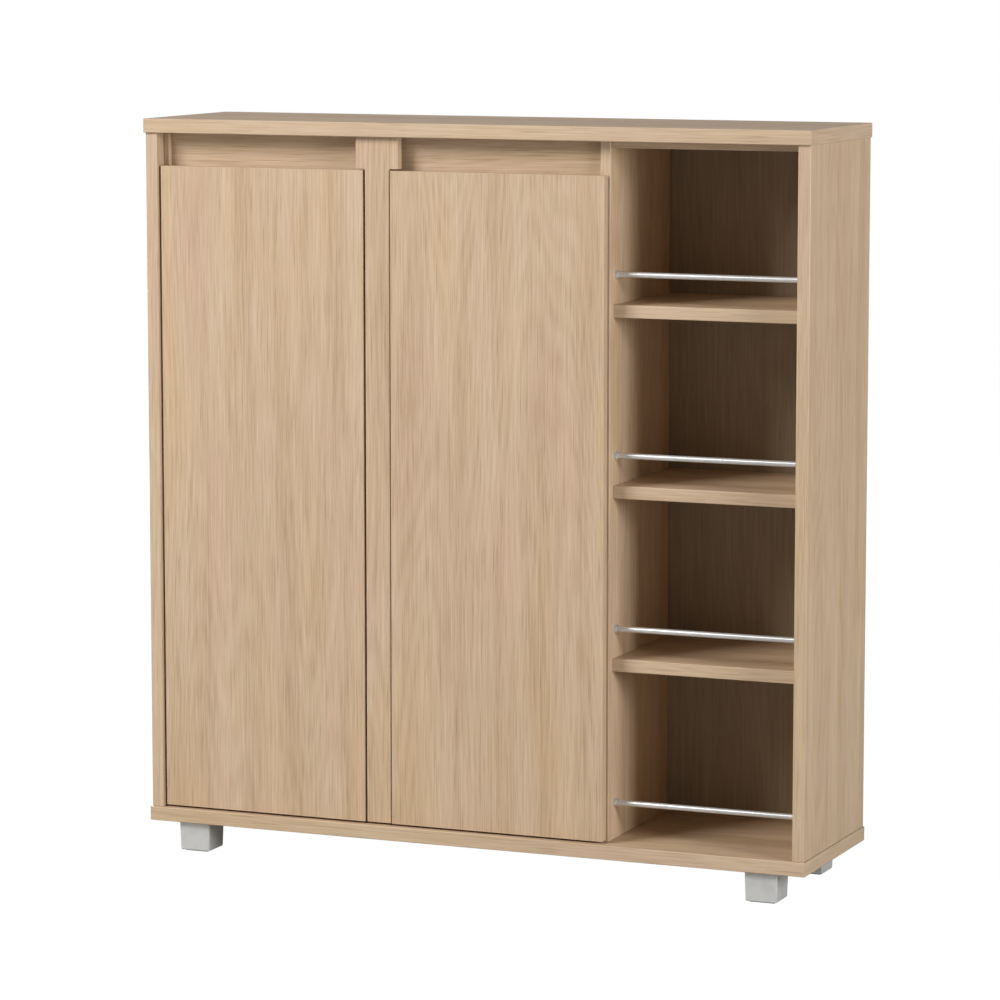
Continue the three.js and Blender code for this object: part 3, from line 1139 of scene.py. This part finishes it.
@dataclass
class MetalFoot:
    """One square metal foot that narrows towards the floor, on its nylon glide."""

    corner: str
    rounding: float = 2.4 * MM
    glide_rounding: float = 0.5 * MM
    steps: int = 4

    def build(self) -> None:
        """Builds the foot and its glide."""
        self._block()
        self._glide()

    def _block(self) -> None:
        """The tapered block."""
        node = f"{self.corner}_foot"
        low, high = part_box(node)
        middle = (low + high) / 2
        taper = self._taper(node, low.z, high.z)
        mesh = bmesh.new()
        for vert in boxed(mesh, low, high):
            if vert.co.z < middle.z:
                vert.co.xy = middle.xy + (vert.co.xy - middle.xy) * taper
        round_edges(mesh, self.rounding, self.steps)
        finish_piece(mesh, f"{node}_cast", [Finish.SATIN], "carcass", (node,))

    def _taper(self, node: str, floor: float, top: float) -> float:
        """How much narrower the CAD foot is at its bottom.

        Args:
            node: the foot's CAD node.
            floor: its lowest height.
            top: its highest height.

        Returns:
            The lower half's width over the upper half's, carried on to the bottom.
        """
        points = [v.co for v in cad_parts[node].data.vertices]
        middle = (floor + top) / 2
        width = {
            upper: max(p.x for p in points if (p.z > middle) == upper)
            - min(p.x for p in points if (p.z > middle) == upper)
            for upper in (False, True)
        }
        return width[False] / width[True]

    def _glide(self) -> None:
        """The nylon pad under the block."""
        node = f"{self.corner}_glide"
        low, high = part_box(node)
        mesh = bmesh.new()
        boxed(mesh, low, high)
        round_edges(mesh, self.glide_rounding, 3)
        mesh.normal_update()
        for face in mesh.faces:
            face.smooth = abs(face.normal.z) < 0.99
        finish_piece(mesh, f"{node}_pad", [Finish.NYLON], "carcass", (node,))


# ---- Doors and hinges ----


@dataclass
class Hinge:
    """One concealed hinge: cup and flange on the door, arm and plate on the case, links between."""

    side: str
    end: str
    cup_radius: float = 17.3 * MM
    wall: float = 0.9 * MM
    ear_reach: float = 26 * MM
    ear_half_width: float = 9 * MM
    ear_screw_out: float = 21.5 * MM
    plate_screw_out: float = 18 * MM
    flange: float = 1.2 * MM
    arm_depth: float = 8.5 * MM
    link: tuple[float, float] = (4.4 * MM, 2.0 * MM)

    @property
    def door(self) -> str:
        """The body that the cup rides on."""
        return f"{self.side}_door"

    @property
    def into(self) -> float:
        """The sign of the way from the hinge edge into the door."""
        return 1.0 if self.side == "left" else -1.0

    @property
    def stem(self) -> str:
        """The start of the names of this hinge's nodes."""
        return f"{self.side}_{self.end}_hinge"

    def build(self) -> None:
        """Builds the whole hinge."""
        self._cup()
        self._arm()
        self._plate()
        self._links()

    def _cup(self) -> None:
        """The pressed cup with its rim, two ears and two screws."""
        node = f"{self.stem}_cup"
        low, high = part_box(node)
        middle = (low + high) / 2
        back = high.y - self.flange
        deep = back - low.y
        place = facing(Vector((middle.x, back, middle.z)), Vector((0, 1, 0)))
        r, w = self.cup_radius, self.wall
        profile = [
            (0.0, -deep),
            (r - 2 * MM, -deep),
            (r - 0.6 * MM, -deep + 0.6 * MM),
            (r, -deep + 2 * MM),
            (r, 0.1 * MM),
            (r + 1.2 * MM, 0.1 * MM),
            (r + 1.2 * MM, 0.7 * MM),
            (r + 0.7 * MM, 1.1 * MM),
            (r - w, 1.1 * MM),
            (r - w, -deep + 2.4 * MM),
            (r - w - 1.2 * MM, -deep + w),
            (0.0, -deep + w),
        ]
        mesh = bmesh.new()
        spun(mesh, profile, place, 48)
        for up in (1, -1):
            self._ear(mesh, place, up)
            at = place @ Vector((0, up * self.ear_screw_out, 1.1 * MM))
            CrossScrew(7.2 * MM, 1.6 * MM, 1.0 * MM).add(mesh, at, Vector((0, 1, 0)), 23.0 * up, 1)
        finishes = [Finish.NICKEL, Finish.ZINC]
        finish_piece(mesh, f"{node}_pressed", finishes, self.door, (node,))

    def _ear(self, mesh: Mesh, place: Matrix, up: int) -> None:
        """One ear of the flange, hollowed to follow the rim.

        Args:
            mesh: the cup's mesh.
            place: the cup's place.
            up: 1 for the upper ear and -1 for the lower.
        """
        rim = self.cup_radius - 0.2 * MM
        half = math.asin(self.ear_half_width / rim)
        inner = [(rim * math.sin(a), rim * math.cos(a)) for a in self._spread(-half, half, 8)]
        shoulder = self.ear_reach - self.ear_half_width * 0.55
        wide, tall = self.ear_half_width, self.ear_half_width * 0.55
        outer = [(wide * math.cos(a), shoulder + tall * math.sin(a)) for a in self._spread(0, math.pi, 10)]
        corners = [mesh.verts.new((x, up * y, 0.1 * MM)) for x, y in [*inner, *outer]]
        known = set(mesh.faces)
        face = mesh.faces.new(corners)
        raised = bmesh.ops.extrude_face_region(mesh, geom=[face])
        tops = [g for g in raised["geom"] if isinstance(g, bmesh.types.BMVert)]
        bmesh.ops.translate(mesh, vec=(0, 0, 1 * MM), verts=tops)
        settle(mesh, known, place)

    @staticmethod
    def _spread(first: float, last: float, steps: int) -> list[float]:
        """Evenly spaced values, both ends included.

        Args:
            first: the first value.
            last: the last value.
            steps: the number of steps between them.

        Returns:
            The values.
        """
        return [first + (last - first) * i / steps for i in range(steps + 1)]

    def _arm(self) -> None:
        """The pressed arm with its two adjusting screws."""
        node = f"{self.stem}_arm"
        low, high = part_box(node)
        mesh = merged_copy(node)
        round_edges(mesh, 1.4 * MM, 3)
        outer = low.x + self.arm_depth if self.side == "left" else high.x - self.arm_depth
        out = Vector((self.into, 0, 0))
        middle_z = (low.z + high.z) / 2
        for y, size, turn in ((high.y - 12 * MM, 7.0, 12.0), (low.y + 26 * MM, 5.6, 50.0)):
            at = Vector((outer, y, middle_z))
            CrossScrew(size * MM, 0.9 * MM, 1.2 * MM).add(mesh, at, out, turn, 1)
        finishes = [Finish.NICKEL, Finish.ZINC]
        finish_piece(mesh, f"{node}_pressed", finishes, "carcass", (node,))

    def _plate(self) -> None:
        """The mounting plate with a screw in each wing."""
        node = f"{self.stem}_plate"
        low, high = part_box(node)
        mesh = merged_copy(node)
        round_edges(mesh, 0.5 * MM, 2)
        middle = (low + high) / 2
        mount = low.x if self.side == "left" else high.x
        out = Vector((self.into, 0, 0))
        for up in (1, -1):
            at = Vector((mount + self.into * 1.9 * MM, middle.y, middle.z + up * self.plate_screw_out))
            CrossScrew(7.6 * MM, 1.7 * MM, 1.1 * MM).add(mesh, at, out, 31.0 * up, 1)
        finishes = [Finish.NICKEL, Finish.ZINC]
        finish_piece(mesh, f"{node}_pressed", finishes, "carcass", (node,))

    def _links(self) -> None:
        """The pair of links that bridge the arm's nose and the cup as the door turns."""
        cup_low, cup_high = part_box(f"{self.stem}_cup")
        arm_low, arm_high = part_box(f"{self.stem}_arm")
        middle_z = (arm_low.z + arm_high.z) / 2
        cup_x = (cup_low.x + cup_high.x) / 2
        nose_x = arm_high.x - 4 * MM if self.side == "left" else arm_low.x + 4 * MM
        nose = Vector((nose_x, arm_low.y + 5 * MM, middle_z))
        socket = Vector((cup_x + self.into * 2 * MM, cup_low.y + 4.5 * MM, middle_z))
        run = socket - nose
        mesh = bmesh.new()
        for z in (-4.2 * MM, 4.2 * MM):
            place = facing((nose + socket) / 2 + Vector((0, 0, z)), run)
            scaled = place @ Matrix.Diagonal((*self.link, run.length, 1.0))
            made = bmesh.ops.create_cube(mesh, size=1.0, matrix=scaled)
            edges = {e for v in made["verts"] for e in v.link_edges}
            lengthwise = [e for e in edges if e.calc_length() > 0.9 * run.length]
            # Cut finely along its length, so that it bends smoothly.
            bmesh.ops.subdivide_edges(mesh, edges=lengthwise, cuts=9, use_grid_fill=True)
        piece = finish_piece(mesh, f"{self.stem}_links", [Finish.NICKEL], None)
        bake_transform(piece)


@dataclass
class Door:
    """One door with its bumpers and its two hinges."""

    side: str
    seed: int

    def build(self) -> None:
        """Builds the door and all that hangs on it."""
        node = f"{self.side}_door"
        Board(
            node, Axis.Z, self.seed, face=Finish.OAK_DOOR, slot="oak_door", body=node, ease=0.5 * MM
        ).build()
        for end in ("lower", "upper"):
            self._bumper(f"{self.side}_{end}_bumper")
            Hinge(self.side, end).build()

    def _bumper(self, node: str) -> None:
        """A clear domed dot on the door's back.

        Args:
            node: the bumper's CAD node.
        """
        low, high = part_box(node)
        middle = (low + high) / 2
        radius = (high.z - low.z) / 2
        tall = high.y - low.y
        profile = [
            (0.0, tall),
            (radius * 0.55, tall * 0.93),
            (radius * 0.85, tall * 0.65),
            (radius, 0.0),
            (0.0, 0.0),
        ]
        mesh = bmesh.new()
        spun(mesh, profile, facing(Vector((middle.x, low.y, middle.z)), Vector((0, 1, 0))), 24)
        finish_piece(
            mesh, f"{node}_dot", [Finish.POLYURETHANE], f"{self.side}_door", (node,)
        )


# ---- Studio ----


@dataclass
class Lamp:
    """One rectangular soft light, aimed at a point."""

    name: str
    at: tuple[float, float, float]
    aim: tuple[float, float, float]
    size: tuple[float, float]
    watts: float
    colour: tuple[float, float, float] = (1.0, 1.0, 1.0)

    def build(self) -> None:
        """Adds the light."""
        data = bpy.data.lights.new(self.name, "AREA")
        data.shape = "RECTANGLE"
        data.size, data.size_y = self.size
        data.energy = self.watts
        data.color = self.colour
        lamp = bpy.data.objects.new(self.name, data)
        bpy.context.scene.collection.objects.link(lamp)
        lamp.location = self.at
        lamp.rotation_euler = (Vector(self.aim) - Vector(self.at)).to_track_quat("-Z", "Y").to_euler()


@dataclass
class Studio:
    """Pale floor, soft lights, pale surroundings and the camera."""

    floor_size: float = 40.0
    camera_at: tuple[float, float, float] = (2.3052, -5.5254, 1.3117)
    yaw: float = 22.693
    pitch: float = 7.515
    lens: float = 152.83
    sensor: float = 36.0
    surround: float = 0.13
    floor_tone: float = 0.5
    floor_glow: float = 0.94
    floor_brightness: float = 1.06

    def build(self) -> None:
        """Builds the studio."""
        self._camera()
        self._floor()
        self._surroundings()
        for lamp in self._lamps():
            lamp.build()
        bpy.context.scene.view_settings.view_transform = "Standard"
        log.info("studio built")

    def _camera(self) -> None:
        """The camera, a long lens a little above the cabinet's top."""
        data = bpy.data.cameras.new("camera")
        data.lens = self.lens
        data.sensor_width = self.sensor
        data.clip_end = 100.0
        camera = bpy.data.objects.new("camera", data)
        bpy.context.scene.collection.objects.link(camera)
        camera.location = self.camera_at
        camera.rotation_euler = (math.radians(90 - self.pitch), 0.0, math.radians(self.yaw))
        bpy.context.scene.camera = camera

    def _floor(self) -> None:
        """A wide pale sheet that glows a little, so that shadows on it stay faint."""
        mesh = bmesh.new()
        bmesh.ops.create_grid(mesh, x_segments=1, y_segments=1, size=self.floor_size / 2)
        data = bpy.data.meshes.new("floor")
        mesh.to_mesh(data)
        mesh.free()
        floor = bpy.data.objects.new("floor", data)
        bpy.context.scene.collection.objects.link(floor)
        nodes = Nodes("Paper, studio roll")
        tree, shader = nodes.tree, nodes.shader
        tone = (self.floor_tone, self.floor_tone, self.floor_tone, 1.0)
        shader.inputs["Base Color"].default_value = tone
        shader.inputs["Roughness"].default_value = 1.0
        shader.inputs["Specular IOR Level"].default_value = 0.0
        path = add_node(tree, "LightPath")
        share = add_node(
            tree, "Math", {"operation": "MULTIPLY", 1: self.floor_glow}, {0: path.outputs["Is Camera Ray"]}
        )
        glow = add_node(tree, "Emission", {"Color": (1.0, 1.0, 1.0, 1.0), "Strength": self.floor_brightness})
        mixed = add_node(
            tree, "MixShader", {}, {0: share.outputs[0], 1: shader.outputs[0], 2: glow.outputs[0]}
        )
        out = tree.nodes["Material Output"]
        tree.links.new(mixed.outputs[0], out.inputs["Surface"])
        data.materials.append(nodes.material)

    def _surroundings(self) -> None:
        """Pale surroundings: seen as near white, and giving a softer light than they show."""
        world = bpy.data.worlds.new("surroundings")
        bpy.context.scene.world = world
        world.use_nodes = True
        tree = world.node_tree
        tree.nodes.clear()
        path = add_node(tree, "LightPath")
        seen = add_node(tree, "Background", {"Color": (1.0, 1.0, 1.0, 1.0), "Strength": 1.0})
        given = add_node(tree, "Background", {"Color": (1.0, 0.99, 0.98, 1.0), "Strength": self.surround})
        mixed = add_node(
            tree, "MixShader", {}, {0: path.outputs["Is Camera Ray"], 1: given.outputs[0], 2: seen.outputs[0]}
        )
        add_node(tree, "OutputWorld", {}, {"Surface": mixed.outputs[0]})

    def _lamps(self) -> list[Lamp]:
        """The lights.

        Returns:
            A high front key, one from the right, one that shows in the top panel and one on the back.
        """
        return [
            Lamp("key", (-2.8, -3.3, 3.3), (0.0, 0.0, 0.5), (2.1, 2.1), 238.0),
            Lamp("right", (4.4, -1.45, 1.5), (0.2, 0.0, 0.5), (1.2, 1.6), 140.0, (0.98, 1.0, 1.02)),
            Lamp("top sheen", (-1.5, 6.0, 1.9), (0.0, 0.0, 1.06), (7.0, 1.2), 28.0),
            Lamp("back", (-2.6, 4.2, 0.55), (0.0, 0.0, 0.5), (2.0, 0.8), 110.0),
        ]


def main() -> None:
    """Builds the cabinet and its studio in order."""
    logging.basicConfig(level=logging.INFO, format="%(name)s: %(message)s")
    Case().build()
    ShoeRods().build()
    ShelfFittings().build()
    for corner in ("front_left", "front_right", "rear_left", "rear_right"):
        MetalFoot(corner).build()
    Door("left", 31).build()
    Door("right", 37).build()
    Studio().build()


if __name__ == "__main__":
    main()
